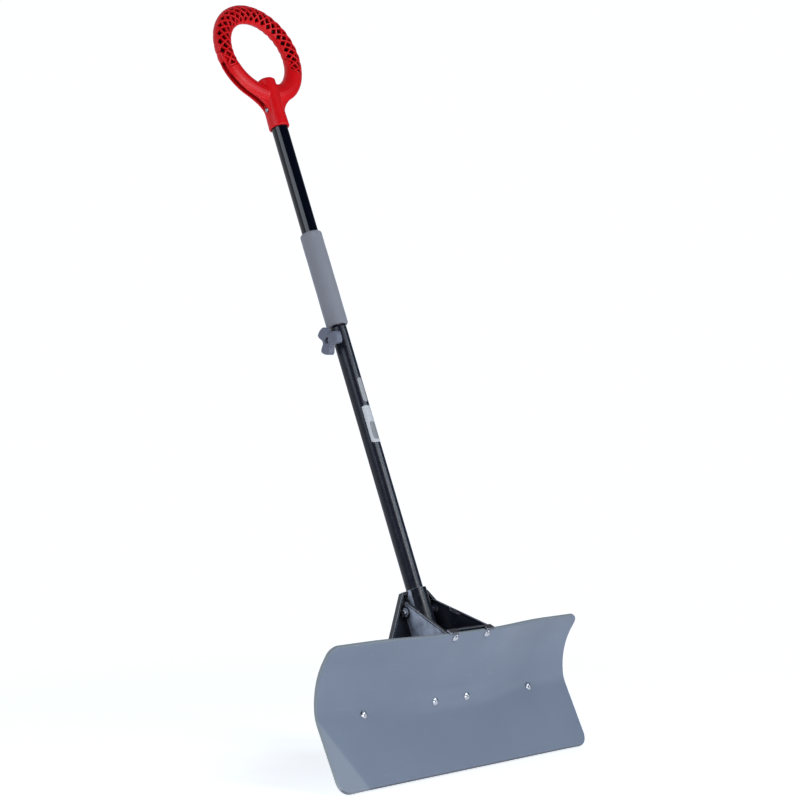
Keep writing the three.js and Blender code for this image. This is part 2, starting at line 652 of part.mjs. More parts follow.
function place(parent, name, geometry, material) {
  const mesh = new THREE.Mesh(geometry, material);
  mesh.name = name;
  parent.add(mesh);
  return mesh;
}

place(leaning, 'blade', blade(), MATERIALS.poly);
place(leaning, 'bracket', bracket(), MATERIALS.nylon);

bladeBolts.forEach(({ x, reach, grip }, i) => {
  const seat = SHEET_THICKNESS + SHEET_CLEARANCE + grip + GAP;
  const headLift = 0.8; // the sheet is hollow here, so a flat seat stands off its middle
  const nutSeat = seat + WASHER_THICKNESS + GAP;
  const stack = standOnSheet(new THREE.Group(), x, reach, 0);
  leaning.add(stack);
  const bolt = carriageBolt(nutSeat + NUT_HEIGHT + 3);
  place(stack, `blade_bolt_${i + 1}`, bolt, MATERIALS.zinc).position.z = -headLift;
  const washer = turnedRing(BOLT_RADIUS + 0.4, WASHER_RADIUS, 0, WASHER_THICKNESS, 16);
  place(stack, `blade_washer_${i + 1}`, washer, MATERIALS.zinc).position.z = seat;
  place(stack, `blade_nut_${i + 1}`, hexNut(), MATERIALS.zinc).position.z = nutSeat;
});

place(shaft, 'lower_tube', lowerTube(), MATERIALS.mattePaint);
place(shaft, 'upper_tube', upperTube(), MATERIALS.glossPaint);
place(shaft, 'slide_bush', slideBush(), MATERIALS.nylon);
place(shaft, 'foam_grip', foamGrip(), MATERIALS.foam);

// Bolt through the bracket and the lower tube, head on the left.
const socketBolt = new THREE.Group();
socketBolt.position.z = SOCKET_BOLT_HEIGHT;
shaft.add(socketBolt);
const bossFace = SOCKET_BOSS + GAP;
const bossHead = turned([[0, 0], [6, 0], [6, 2], [4, 4], [0, 4]], 20).translate(0, 0, bossFace);
const bossShank = rod(BOLT_RADIUS, -bossFace - 12, bossFace + 1, 16);
const bossWasher = turnedRing(BOLT_RADIUS + 0.4, 7.5, 0, WASHER_THICKNESS, 16);
bossWasher.translate(0, 0, -bossFace - WASHER_THICKNESS);
place(socketBolt, 'socket_bolt', facingLeft(toGeometry(join(bossHead, bossShank))), MATERIALS.zinc);
place(socketBolt, 'socket_washer', facingLeft(bossWasher), MATERIALS.zinc);
const bossNut = hexNut().translate(0, 0, -bossFace - WASHER_THICKNESS - GAP - NUT_HEIGHT);
place(socketBolt, 'socket_nut', facingLeft(bossNut), MATERIALS.zinc);

const clamp = new THREE.Group();
clamp.position.z = CLAMP_HEIGHT;
shaft.add(clamp);
place(clamp, 'clamp_boss', clampBoss(), MATERIALS.zinc);
place(clamp, 'pressure_pad', pressurePad(), MATERIALS.nylon);
place(clamp, 'clamp_screw', clampScrew(), MATERIALS.zinc);
place(clamp, 'clamp_knob', knob(), MATERIALS.knob);

place(shaft, 'handle_body', handleBody(), MATERIALS.red);
place(shaft, 'ring_grip', ringGrip(), MATERIALS.red);
place(shaft, 'handle_screw', handleScrew(), MATERIALS.zinc).position.z = HANDLE_SCREW_HEIGHT;

export default pusher;
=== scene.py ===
"""Looks for the snow pusher: soft moulded edges, foam, lattice grip, materials and studio.

Metres throughout, in the row frame. Shapes made here are laid out in the shaft frame, whose
axes are across the tool, behind the shaft and up the shaft, from the swivel's centre.
"""

import json
import math

import bpy
import numpy as np
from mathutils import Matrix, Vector

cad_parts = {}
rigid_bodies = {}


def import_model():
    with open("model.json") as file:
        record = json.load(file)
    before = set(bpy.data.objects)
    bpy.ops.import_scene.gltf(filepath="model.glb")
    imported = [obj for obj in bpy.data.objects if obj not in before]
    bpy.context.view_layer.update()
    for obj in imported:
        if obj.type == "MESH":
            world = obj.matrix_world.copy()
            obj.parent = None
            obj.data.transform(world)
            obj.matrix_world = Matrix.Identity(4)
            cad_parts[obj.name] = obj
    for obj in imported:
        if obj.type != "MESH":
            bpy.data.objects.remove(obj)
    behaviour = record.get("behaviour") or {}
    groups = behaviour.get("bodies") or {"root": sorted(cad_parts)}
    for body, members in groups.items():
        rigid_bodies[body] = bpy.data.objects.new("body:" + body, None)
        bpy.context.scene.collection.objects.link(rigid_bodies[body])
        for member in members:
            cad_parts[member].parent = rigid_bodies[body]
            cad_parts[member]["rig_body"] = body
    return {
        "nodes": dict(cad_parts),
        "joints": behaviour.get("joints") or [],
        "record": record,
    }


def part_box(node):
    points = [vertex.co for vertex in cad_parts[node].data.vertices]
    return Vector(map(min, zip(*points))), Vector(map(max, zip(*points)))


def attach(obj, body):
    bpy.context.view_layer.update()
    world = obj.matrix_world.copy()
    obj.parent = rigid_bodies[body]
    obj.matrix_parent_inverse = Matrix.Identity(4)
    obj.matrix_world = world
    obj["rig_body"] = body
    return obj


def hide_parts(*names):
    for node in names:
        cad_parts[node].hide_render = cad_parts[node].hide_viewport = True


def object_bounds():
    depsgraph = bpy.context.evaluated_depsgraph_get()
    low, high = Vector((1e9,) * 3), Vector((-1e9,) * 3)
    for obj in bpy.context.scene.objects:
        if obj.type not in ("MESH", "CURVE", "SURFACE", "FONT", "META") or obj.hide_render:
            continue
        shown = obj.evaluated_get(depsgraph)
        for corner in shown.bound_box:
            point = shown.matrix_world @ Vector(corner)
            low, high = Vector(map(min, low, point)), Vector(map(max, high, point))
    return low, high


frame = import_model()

CAD_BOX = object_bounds()  # before any piece is added

# ------------------------------------------------------------------ shaft frame

JOINTS = {joint["name"]: joint for joint in frame["joints"]}
ACROSS = Vector((1, 0, 0))
UP_SHAFT = Vector(JOINTS["telescope_slide"]["axis"]).normalized()
BEHIND = UP_SHAFT.cross(ACROSS)
SWIVEL = Vector(JOINTS["handle_swivel"]["pos_m"])
TURN = np.array([ACROSS, BEHIND, UP_SHAFT])  # rows are the shaft frame's axes


def to_shaft(points):
    return (np.asarray(points) - np.array(SWIVEL)) @ TURN.T


def to_row(points):
    return np.asarray(points) @ TURN + np.array(SWIVEL)


def vertices_of(mesh):
    flat = np.empty(len(mesh.vertices) * 3)
    mesh.vertices.foreach_get("co", flat)
    return flat.reshape(-1, 3)


def span(node):
    """Lowest and highest corner of a CAD node in the shaft frame."""
    places = to_shaft(vertices_of(frame["nodes"][node].data))
    return places.min(0), places.max(0)


# ------------------------------------------------------------------ making pieces


def link(name, data):
    piece = bpy.data.objects.new(name, data)
    bpy.context.scene.collection.objects.link(piece)
    return piece


def quads(numbers):
    """Faces between the neighbours in a grid of vertex numbers."""
    corners = [numbers[:-1, :-1], numbers[:-1, 1:], numbers[1:, 1:], numbers[1:, :-1]]
    return np.stack(corners, -1).reshape(-1, 4)


def band(loop, following):
    """Faces between two closed loops of vertex numbers."""
    return np.stack([loop, following, np.roll(following, -1), np.roll(loop, -1)], -1)


def full_circle(steps):
    """Angles spaced evenly all the way round."""
    return np.linspace(0, 2 * math.pi, steps, endpoint=False)


def smooth_piece(name, points, faces):
    mesh = bpy.data.meshes.new(name)
    mesh.from_pydata(points.tolist(), [], faces.tolist())
    mesh.shade_smooth()
    return link(name, mesh)


def from_grid(name, points, closed_across=False):
    """A piece from a grid of row-frame points, rows by columns; its columns can close up."""
    rows, columns = points.shape[:2]
    numbers = np.arange(rows * columns).reshape(rows, columns)
    if closed_across:
        numbers = np.concatenate([numbers, numbers[:, :1]], 1)
    return smooth_piece(name, points.reshape(-1, 3), quads(numbers))


def weld(piece):
    """Joins vertices that lie in one place."""
    joined = piece.modifiers.new("weld", "WELD")
    joined.merge_threshold = 1e-5


def soften(piece, rounds):
    """Rounds off the edges of a fine mesh, further with each round."""
    smooth = piece.modifiers.new("soften", "SMOOTH")
    smooth.factor = 0.5
    smooth.iterations = rounds


def stand_for(piece, node, material):
    """The piece is shown instead of a CAD node, moves with its body and takes its finish."""
    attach(piece, frame["nodes"][node]["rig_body"])
    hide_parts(node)
    piece.data.materials.clear()
    piece.data.materials.append(material)


def moulded(node, name, voxel, rounds):
    """A fine, evenly meshed copy of a CAD node with its edges softened as moulding leaves them."""
    piece = link(name, frame["nodes"][node].data.copy())
    weld(piece)
    remesh = piece.modifiers.new("remesh", "REMESH")
    remesh.mode = "VOXEL"
    remesh.voxel_size = voxel * 1
    soften(piece, rounds)
    evaluated = piece.evaluated_get(bpy.context.evaluated_depsgraph_get())
    fine = bpy.data.meshes.new_from_object(evaluated)
    piece.modifiers.clear()
    piece.data = fine
    fine.shade_smooth()
    return piece


def remould(node, name, material, voxel, rounds):
    """Shows a moulded copy instead of a CAD node."""
    stand_for(moulded(node, name, voxel, rounds), node, material)


def paint(mesh, name, values):
    """Stores one number per vertex for a material to read."""
    layer = mesh.attributes.new(name, "FLOAT", "POINT")
    layer.data.foreach_set("value", np.asarray(values, dtype=np.float32))


def smoothstep(low, high, value):
    t = np.clip((value - low) / (high - low), 0, 1)
    return t * t * (3 - 2 * t)


# ------------------------------------------------------------------ blade

BLADE_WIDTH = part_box("blade")[1].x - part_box("blade")[0].x
SHEET_LENGTH = 0.247  # along the curl, from scraping edge to top edge
SHEET_THICKNESS = 0.007
SHEET_TILT = math.radians(5.8)
EDGE_RADIUS = 0.0022
BOTTOM_CORNER = 0.022
TOP_CORNER = 0.018
# Bends of the sheet as (start along it, radius, turn): where the bracket holds it, and at its free ends
HELD_BENDS = [(0.100, 0.045, math.radians(53))]
FREE_BENDS = [(0.114, 0.053, math.radians(22.3)), (0.1346, 0.1225, math.radians(38.3))]
HELD_HALF_WIDTH = 0.045
FREE_HALF_WIDTH = 0.215
# The lower corners turn back a little past a slanting line; the left one has a painted highlight, paler
# colour standing in for light reflected off it
CORNER_FOLD = math.radians(4)
CORNER_FOLD_WIDTH = 0.060  # of the folded corner at the scraping edge
CORNER_FOLD_HEIGHT = 0.124
FOLD_SOFTNESS = 0.005
CORNER_HIGHLIGHT_FROM = -0.002  # past the fold line
CORNER_HIGHLIGHT_FULLY = 0.003
CORNER_ROWS = 9
MIDDLE_ROWS = 76
SHEET_COLUMNS = 181
EDGE_STEPS = 4  # round each of the two edge radii


def bent_section(bends, distance):
    """Behind and up the shaft of a bent sheet at a distance along it, and its angle from the shaft."""
    behind = np.zeros_like(distance)
    up = np.zeros_like(distance)
    angle = np.full_like(distance, SHEET_TILT)
    travelled = np.zeros_like(distance)
    for start, radius, turn in bends:
        straight = np.minimum(distance, start) - travelled
        behind += straight * np.sin(angle)
        up += straight * np.cos(angle)
        turned = np.clip((distance - start) / radius, 0, turn)
        behind += radius * (np.cos(angle - turned) - np.cos(angle))
        up += radius * (np.sin(angle) - np.sin(angle - turned))
        travelled += straight + radius * turned
        angle = angle - turned
    behind += (distance - travelled) * np.sin(angle)
    up += (distance - travelled) * np.cos(angle)
    return behind, up, angle


def past_fold(x, distance):
    """How far a place on the sheet lies beyond the fold line of its lower corner."""
    beyond = np.abs(x) - BLADE_WIDTH / 2 + CORNER_FOLD_WIDTH * (1 - distance / CORNER_FOLD_HEIGHT)
    return beyond * CORNER_FOLD_HEIGHT / math.hypot(CORNER_FOLD_WIDTH, CORNER_FOLD_HEIGHT)


def on_sheet(x, distance, depth):
    """Row-frame points of the sheet: x across, distance along it, depth behind its front face."""
    past = past_fold(x, distance)
    eased = (past + np.sqrt(past**2 + FOLD_SOFTNESS**2)) / 2
    depth = depth + math.tan(CORNER_FOLD) * eased

    def place(bends):
        behind, up, angle = bent_section(bends, distance)
        return np.stack([behind + depth * np.cos(angle), up - depth * np.sin(angle)], -1)

    freed = smoothstep(HELD_HALF_WIDTH, FREE_HALF_WIDTH, np.abs(x))[..., None]
    section = place(HELD_BENDS) * (1 - freed) + place(FREE_BENDS) * freed
    middle = SHEET_THICKNESS / 2 * np.array([math.cos(SHEET_TILT), -math.sin(SHEET_TILT)])
    section = section - middle  # the row's origin is the middle of the scraping face
    return np.concatenate([x[..., None], section], -1) @ TURN


def rows_up_the_sheet():
    """Distances along the sheet, closer together in its rounded corners."""
    ends = 1 - np.cos(np.linspace(0, math.pi / 2, CORNER_ROWS))
    middle = np.linspace(BOTTOM_CORNER, SHEET_LENGTH - TOP_CORNER, MIDDLE_ROWS)
    return np.concatenate([ends * BOTTOM_CORNER, middle[1:-1], SHEET_LENGTH - ends[::-1] * TOP_CORNER])


def corner_cut(radius, height):
    """How far a corner's rounding takes in the side at a height above its tangent edge."""
    return radius - np.sqrt(np.maximum(radius**2 - np.maximum(0, radius - height) ** 2, 0))


def sheet_grid(inset, depth):
    """A grid over the sheet, inset from its outline and behind its front by the depth. Each
    place has its row-frame point and how much painted highlight it gets on the left lower corner."""
    length = SHEET_LENGTH - 2 * inset
    height = rows_up_the_sheet() * length / SHEET_LENGTH
    bottom_cut = corner_cut(BOTTOM_CORNER - inset, height)
    top_cut = corner_cut(TOP_CORNER - inset, length - height)
    half_width = BLADE_WIDTH / 2 - inset - bottom_cut - top_cut
    x = half_width[:, None] * np.linspace(-1, 1, SHEET_COLUMNS)
    distance = np.broadcast_to(inset + height[:, None], x.shape).copy()
    # Painted highlight: the left lower corner past the fold line is marked to be painted paler, in place
    # of light reflected there
    painted_highlight = smoothstep(CORNER_HIGHLIGHT_FROM, CORNER_HIGHLIGHT_FULLY, past_fold(x, distance)) * (x < 0)
    points = on_sheet(x, distance, np.full_like(x, depth))
    return np.concatenate([points, painted_highlight[..., None]], -1)


def edge_profile():
    """(inset, depth) from the front face round the sheet's edge to its back face."""
    steps = np.linspace(0, math.pi / 2, EDGE_STEPS)
    front = [(EDGE_RADIUS * (1 - math.sin(a)), EDGE_RADIUS * (1 - math.cos(a))) for a in steps]
    back = [(inset, SHEET_THICKNESS - depth) for inset, depth in reversed(front)]
    return front + back


def blade(material):
    """The curled sheet with lightly rounded edges. Its vertices know how far round the edge they
    are: 0 on the faces, about a half on the sawn edge, nearly 1 at the back rounding."""
    layers = [sheet_grid(inset, depth) for inset, depth in edge_profile()]
    rows, columns = layers[0].shape[:2]
    count = rows * columns
    numbers = np.arange(count).reshape(rows, columns)
    rim = np.concatenate([numbers[0, :-1], numbers[:-1, -1], numbers[-1, :0:-1], numbers[:0:-1, 0]])
    front, *between, back = [layer.reshape(count, -1) for layer in layers]
    back_start = count + len(between) * len(rim)

    loops = [rim, *np.arange(count, back_start).reshape(len(between), len(rim)), back_start + rim]
    edge_faces = [band(loop, following) for loop, following in zip(loops, loops[1:])]
    faces = np.concatenate([quads(numbers), *edge_faces, quads(numbers + back_start)[:, ::-1]])
    places = np.concatenate([front, *(layer[rim] for layer in between), back])
    piece = smooth_piece("blade_sheet", places[:, :3], faces)

    around_edge = np.zeros(len(places))
    around_edge[count:back_start] = np.repeat(np.arange(1, len(layers) - 1), len(rim)) / (len(layers) - 1)
    paint(piece.data, "around_edge", around_edge)
    # Stores the mask of the painted highlight on the left lower corner
    paint(piece.data, "painted_highlight", places[:, 3])
    stand_for(piece, "blade", material)


# ------------------------------------------------------------------ foam grip

FOAM_ROUNDING = 0.0042
FOAM_LIP = 0.0015  # how far each end sinks in towards the bore
FOAM_BORE_GAP = 0.0002
FOAM_UNEVENNESS = 0.00012
FOAM_END_ROWS = 9
FOAM_BODY_ROWS = 150
FOAM_COLUMNS = 96


def foam_grip(material):
    """Foam sleeve with soft ends and a slightly uneven skin."""
    low, high = span("foam_grip")
    skin = high[0]
    bore = span("upper_tube")[1][0] + FOAM_BORE_GAP
    bottom, top = low[2], high[2]
    quarter = np.linspace(0, math.pi / 2, FOAM_END_ROWS)
    rounding = FOAM_ROUNDING * np.stack([np.sin(quarter) - 1, 1 - np.cos(quarter)], -1)
    lower_end = [skin, bottom] + rounding
    upper_end = ([skin, top] + rounding * [1, -1])[::-1]
    heights = np.linspace(bottom + FOAM_ROUNDING, top - FOAM_ROUNDING, FOAM_BODY_ROWS)[1:-1]
    body = np.stack([np.full_like(heights, skin), heights], -1)
    lower_lip = [[bore, bottom + FOAM_LIP]]
    upper_lip = [[bore, top - FOAM_LIP]]
    profile = np.concatenate([lower_lip, lower_end, body, upper_end, upper_lip])

    around = full_circle(FOAM_COLUMNS)
    radius = profile[:, :1] * np.ones_like(around)
    height = profile[:, 1:] * np.ones_like(around)
    ripple = np.sin(3 * around + 70 * height) * np.sin(41 * height + 1.3)
    ripple += 0.6 * np.sin(5 * around - 113 * height)
    on_skin = profile[:, :1] > skin - FOAM_ROUNDING
    radius = radius + FOAM_UNEVENNESS * (ripple - 1.6) * on_skin  # only ever inwards
    points = np.stack([radius * np.cos(around), radius * np.sin(around), height], -1)
    closed = np.concatenate([points, points[:1]])
    piece = from_grid("foam_sleeve", to_row(closed), closed_across=True)
    weld(piece)
    stand_for(piece, "foam_grip", material)


# ------------------------------------------------------------------ ring handle

RING_HALF_WIDTH = 0.0182  # of the grip's oval section, in the plane of the ring
PERIOD_ALONG = 0.0159  # of the diamond pockets, round the ring
PERIOD_ACROSS = 0.018
PATTERN_SHIFT = 0.25  # of a period across, so that ribs don't cross on the face's middle line
RIB_WIDTH = 0.0030
RIB_SPACING = 1 / math.hypot(1 / PERIOD_ALONG, 1 / PERIOD_ACROSS)
POCKET_DEPTH = 0.0088
POCKET_WALL = 0.0012  # run of a pocket's sloping wall
LATTICE_HALF_WIDTH = 0.0145  # from the face's middle to the last pockets' centres
LATTICE_END = math.radians(-22)


def inside_pocket(along, across):
    """How far inside the rim of a pocket places on the ring's face are; 0 or less on the ribs."""
    places = [along / PERIOD_ALONG + way * (across / PERIOD_ACROSS + PATTERN_SHIFT) for way in (1, -1)]
    to_ribs = [(0.5 - np.abs(place - np.round(place))) * RIB_SPACING - RIB_WIDTH / 2 for place in places]
    cell_across = PERIOD_ACROSS * ((np.round(places[0]) - np.round(places[1])) / 2 - PATTERN_SHIFT)
    return np.minimum(*to_ribs) * (np.abs(cell_across) < LATTICE_HALF_WIDTH)


def ring_grip(material):
    """The upper ring, with a lattice of pockets sunk in its front and back faces."""
    piece = moulded("ring_grip", "ring_lattice", voxel=0.0006, rounds=5)
    low, high = span("ring_grip")
    outer = (high[0] - low[0]) / 2
    half_depth = (high[1] - low[1]) / 2
    middle_radius = outer - RING_HALF_WIDTH
    centre = high[2] - outer

    places = to_shaft(vertices_of(piece.data))
    x, y, z = places[:, 0], places[:, 1], places[:, 2] - centre
    turn = np.arctan2(z, x)
    turn = np.where(turn < -math.pi / 2, turn + 2 * math.pi, turn)
    out = np.hypot(x, z) - middle_radius
    section = np.arctan2(np.abs(y) / half_depth, out / RING_HALF_WIDTH)  # a quarter turn on the face
    across = (section - math.pi / 2) * (RING_HALF_WIDTH + half_depth) / 2
    along = middle_radius * (turn - math.pi / 2)
    to_end = middle_radius * np.minimum(turn - LATTICE_END, math.pi - LATTICE_END - turn)
    share = smoothstep(0, POCKET_WALL, np.minimum(inside_pocket(along, across), to_end))

    normal_out = np.cos(section) / RING_HALF_WIDTH
    normal_back = np.sin(section) / half_depth * np.sign(y)
    sunk = POCKET_DEPTH * share / np.hypot(normal_out, normal_back)
    places[:, 0] -= normal_out * sunk * np.cos(turn)
    places[:, 1] -= normal_back * sunk
    places[:, 2] -= normal_out * sunk * np.sin(turn)
    piece.data.vertices.foreach_set("co", to_row(places).reshape(-1))
    piece.data.update()
    # Also the mask for the painted shade down in the pockets of the red plastic
    paint(piece.data, "in_pocket", share)
    soften(piece, 3)
    stand_for(piece, "ring_grip", material)


# ------------------------------------------------------------------ label

DECAL_CORNER = 0.004
DECAL_THICKNESS = 0.00012
DECAL_ROWS = 41
DECAL_COLUMNS = 33


def decal(name, shade, bottom, top, half_angle, lift):
    """Thin round-cornered patch of blank paper wrapped on the front of the lower tube. Bottom
    and top are from the tube's rim, half_angle in degrees."""
    low, high = span("lower_tube")
    radius = high[0] + lift
    rows = np.linspace(bottom, top, DECAL_ROWS)
    cut = corner_cut(DECAL_CORNER, np.minimum(rows - bottom, top - rows))
    half = math.radians(half_angle) - cut / radius
    around = -math.pi / 2 + half[:, None] * np.linspace(-1, 1, DECAL_COLUMNS)
    height = high[2] + rows[:, None] * np.ones_like(around)
    face = np.stack([radius * np.cos(around), radius * np.sin(around), height], -1)
    piece = from_grid(name, to_row(face))
    paper = piece.modifiers.new("paper", "SOLIDIFY")
    paper.thickness = DECAL_THICKNESS
    paper.offset = 1
    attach(piece, "pusher")
    piece.data.materials.append(label_paper(name, shade))


def label():
    """Plain label with a blank grey panel, below a plain pale strip; none of it printed."""
    decal("label_blank", shade=0.66, bottom=-0.2185, top=-0.1505, half_angle=46, lift=0.0001)
    decal("label_panel", shade=0.3, bottom=-0.2130, top=-0.1810, half_angle=24, lift=0.00025)
    decal("strip_blank", shade=0.42, bottom=-0.1440, top=-0.0985, half_angle=20, lift=0.0001)


# ------------------------------------------------------------------ materials

class Finish:
    """A material under construction around one Principled shader."""

    def __init__(self, name, **values):
        self.material = bpy.data.materials.new(name)
        self.material.use_nodes = True
        self.tree = self.material.node_tree
        self.shader = self.tree.nodes["Principled BSDF"]
        self.set(**values)

    def set(self, **values):
        for name, value in values.items():
            self.shader.inputs[name.replace("_", " ")].default_value = value

    def node(self, kind, **settings):
        node = self.tree.nodes.new(kind)
        for name, value in settings.items():
            setattr(node, name, value)
        return node

    def join(self, source, target):
        self.tree.links.new(source, target)

    def noise(self, scale, detail=3, stretch=(1, 1, 1)):
        """Noise in the piece's own coordinates; scale is waves per metre."""
        place = self.node("ShaderNodeTexCoord").outputs["Object"]
        mapping = self.node("ShaderNodeMapping")
        mapping.inputs["Scale"].default_value = stretch
        self.join(place, mapping.inputs["Vector"])
        noise = self.node("ShaderNodeTexNoise")
        noise.inputs["Scale"].default_value = scale
        noise.inputs["Detail"].default_value = detail
        self.join(mapping.outputs["Vector"], noise.inputs["Vector"])
        return noise.outputs["Fac"]

    def spread(self, value, low, high, start=0.3, end=0.7):
        """The value's run from start to end, mapped to low and high."""
        remap = self.node("ShaderNodeMapRange")
        self.join(value, remap.inputs["Value"])
        limits = {"From Min": start, "From Max": end, "To Min": low, "To Max": high}
        for name, number in limits.items():
            remap.inputs[name].default_value = number
        return remap.outputs["Result"]

    def mix(self, share, first, second):
        """Colour between two colours or colour sockets."""
        mix = self.node("ShaderNodeMix", data_type="RGBA")
        self.join(share, mix.inputs["Factor"])
        for socket, value in zip(mix.inputs[6:8], (first, second)):  # its colour inputs
            if isinstance(value, tuple):
                socket.default_value = (*value, 1)
            else:
                self.join(value, socket)
        return mix.outputs[2]

    def colour(self, source):
        self.join(source, self.shader.inputs["Base Color"])

    def roughness(self, source):
        self.join(source, self.shader.inputs["Roughness"])

    def bump(self, *layers):
        """Bump from (height socket, depth in metres) layers."""
        normal = None
        for height, depth in layers:
            bump = self.node("ShaderNodeBump")
            bump.inputs["Distance"].default_value = depth
            self.join(height, bump.inputs["Height"])
            if normal is not None:
                self.join(normal, bump.inputs["Normal"])
            normal = bump.outputs["Normal"]
        self.join(normal, self.shader.inputs["Normal"])

    def part(self, axis, vector):
        """One part of a vector socket."""
        parts = self.node("ShaderNodeSeparateXYZ")
        self.join(vector, parts.inputs["Vector"])
        return parts.outputs[axis]

    def maths(self, operation, *values):
        """Result of a maths operation on sockets and numbers."""
        node = self.node("ShaderNodeMath", operation=operation)
        for value, socket in zip(values, node.inputs):
            if isinstance(value, float):
                socket.default_value = value
            else:
                self.join(value, socket)
        return node.outputs["Value"]

    def painted(self, name):
        """A number stored on the vertices; 0 on meshes that lack it."""
        return self.node("ShaderNodeAttribute", attribute_name=name).outputs["Fac"]

    def crevice_shade(self, reach):
        """Mask for painted shade: 1 deep in slots and corners and 0 in the open, looking as far as reach.
        """
        occlusion = self.node("ShaderNodeAmbientOcclusion", samples=6)
        occlusion.inputs["Distance"].default_value = reach
        return self.spread(occlusion.outputs["AO"], 1, 0, 0.15, 0.6)

    def edges(self, low, high):
        """1 on convex edges and 0 on flats, from how sharply the surface bends."""
        return self.spread(self.node("ShaderNodeNewGeometry").outputs["Pointiness"], 0, 1, low, high)


def shades(colour, darker, lighter):
    return tuple(c * darker for c in colour), tuple(c * lighter for c in colour)


def poly_sheet():
    """Extruded grey-blue polyethylene: satin, streaked along its length, scuffed, with painted highlights
    making its sawn edge and left lower corner paler, and painted shade darkening its back rounding and
    the scraping edge."""
    finish = Finish("poly_sheet", IOR=1.5)
    cloudy = finish.mix(finish.noise(7, 4), *shades((0.163, 0.199, 0.270), 0.88, 1.1))
    scuffs = finish.spread(finish.noise(60, 6, (0.3, 1, 3)), 0, 0.2, 0.66, 0.8)
    face = finish.mix(scuffs, cloudy, (0.33, 0.36, 0.42))

    around = finish.painted("around_edge")
    # Painted highlight: the sawn edge is painted paler, standing in for light falling on it
    edge_highlighted = finish.mix(finish.spread(around, 0, 1, 0.1, 0.3), face, (0.25, 0.285, 0.31))
    # Painted shade: the back rounding of the edge is painted nearly black, where it turns away from the
    # light
    back_shaded = finish.mix(finish.spread(around, 0, 1, 0.7, 0.85), edge_highlighted, (0.05, 0.06, 0.08))

    height = finish.part("Z", finish.node("ShaderNodeTexCoord").outputs["Object"])
    # Painted shade: the edge along the bottom, facing the floor, is painted dark as if in shadow
    near_ground = finish.spread(height, 1, 0, 0.006, 0.009)
    underside_shade = finish.maths("MULTIPLY", near_ground, finish.spread(around, 0, 1, 0.05, 0.2))
    bottom_shaded = finish.mix(underside_shade, back_shaded, (0.025, 0.03, 0.045))

    # Painted highlight: paler colour on the left lower corner, standing in for light reflected off the
    # fold
    corner_highlight = finish.maths("MULTIPLY", finish.painted("painted_highlight"), 0.3)
    finish.colour(finish.mix(corner_highlight, bottom_shaded, (0.36, 0.40, 0.45)))
    finish.roughness(finish.spread(finish.noise(16, 5), 0.42, 0.54))
    finish.bump((finish.noise(90, 2, (0.08, 1, 1)), 0.0001), (finish.noise(1400, 2), 0.00003))
    return finish.material


def black_nylon():
    """Moulded black nylon: glossy and mottled, with painted shade in its corners, a painted reflection
    in pale patches over the outward sides of the gussets and painted highlights along its edges."""
    finish = Finish("black_nylon", IOR=1.55)
    mottled = finish.mix(finish.noise(45, 5), *shades((0.006, 0.0075, 0.014), 0.5, 1.9))
    # Painted reflection: pale patches on the sides facing outward, standing in for light reflected off
    # the gussets
    geometry = finish.node("ShaderNodeNewGeometry")
    side = finish.maths("SIGN", finish.part("X", geometry.outputs["Position"]))
    outward = finish.maths("MULTIPLY", finish.part("X", geometry.outputs["Normal"]), side)
    patches = finish.spread(finish.noise(55, 6), 0.5, 1, 0.36, 0.64)
    reflection_mask = finish.maths("MULTIPLY", finish.spread(outward, 0, 1, 0.93, 0.965), patches)
    with_reflection = finish.mix(reflection_mask, mottled, (0.62, 0.70, 0.86))
    # Painted highlight: convex edges are painted paler, standing in for light catching them
    painted_highlight = finish.mix(finish.edges(0.515, 0.57), with_reflection, (0.42, 0.45, 0.53))
    # Painted shade: near black in corners, from ambient occlusion
    finish.colour(finish.mix(finish.crevice_shade(0.03), painted_highlight, (0.0008, 0.001, 0.002)))
    finish.roughness(finish.spread(finish.noise(70, 5), 0.2, 0.36))
    finish.bump((finish.noise(110, 3), 0.00006), (finish.noise(1500, 2), 0.00001))
    return finish.material


def zinc_steel():
    """Bright zinc plate with fine random rubbing."""
    finish = Finish("zinc_steel", Metallic=1)
    finish.colour(finish.mix(finish.noise(250, 3), (0.36, 0.375, 0.42), (0.56, 0.58, 0.64)))
    finish.roughness(finish.spread(finish.noise(500, 4), 0.2, 0.36))
    finish.bump((finish.noise(900, 3), 0.00004))
    return finish.material


def matte_paint():
    """Charcoal powder coat with its fine orange peel."""
    finish = Finish("matte_paint", IOR=1.5)
    finish.colour(finish.mix(finish.noise(30, 4), *shades((0.009, 0.0112, 0.022), 0.8, 1.25)))
    finish.roughness(finish.spread(finish.noise(120, 4), 0.26, 0.34))
    finish.bump((finish.noise(700, 2), 0.00003))
    return finish.material


def gloss_paint():
    """Gloss black enamel, lightly wiped along the tube."""
    finish = Finish("gloss_paint", IOR=1.5, Coat_Weight=0.25, Coat_Roughness=0.04)
    finish.colour(finish.mix(finish.noise(40, 3), *shades((0.002, 0.0035, 0.009), 0.7, 1.4)))
    finish.roughness(finish.spread(finish.noise(300, 4, (1, 0.1, 0.1)), 0.08, 0.14))
    finish.bump((finish.noise(60, 2, (1, 0.1, 0.1)), 0.00002))
    return finish.material


def grip_foam():
    """Closed-cell foam: matte, finely pitted, slightly blotchy."""
    finish = Finish("grip_foam", IOR=1.4, Sheen_Weight=0.12, Sheen_Roughness=0.6)
    blotches = finish.mix(finish.noise(28, 4), *shades((0.305, 0.315, 0.362), 0.92, 1.08))
    pits = finish.noise(1300, 4)
    finish.colour(finish.mix(finish.spread(pits, 0, 0.3, 0.6, 0.72), blotches, (0.12, 0.13, 0.15)))
    finish.roughness(finish.spread(pits, 0.8, 0.98))
    finish.bump((finish.noise(160, 3), 0.0004), (pits, 0.0003))
    return finish.material


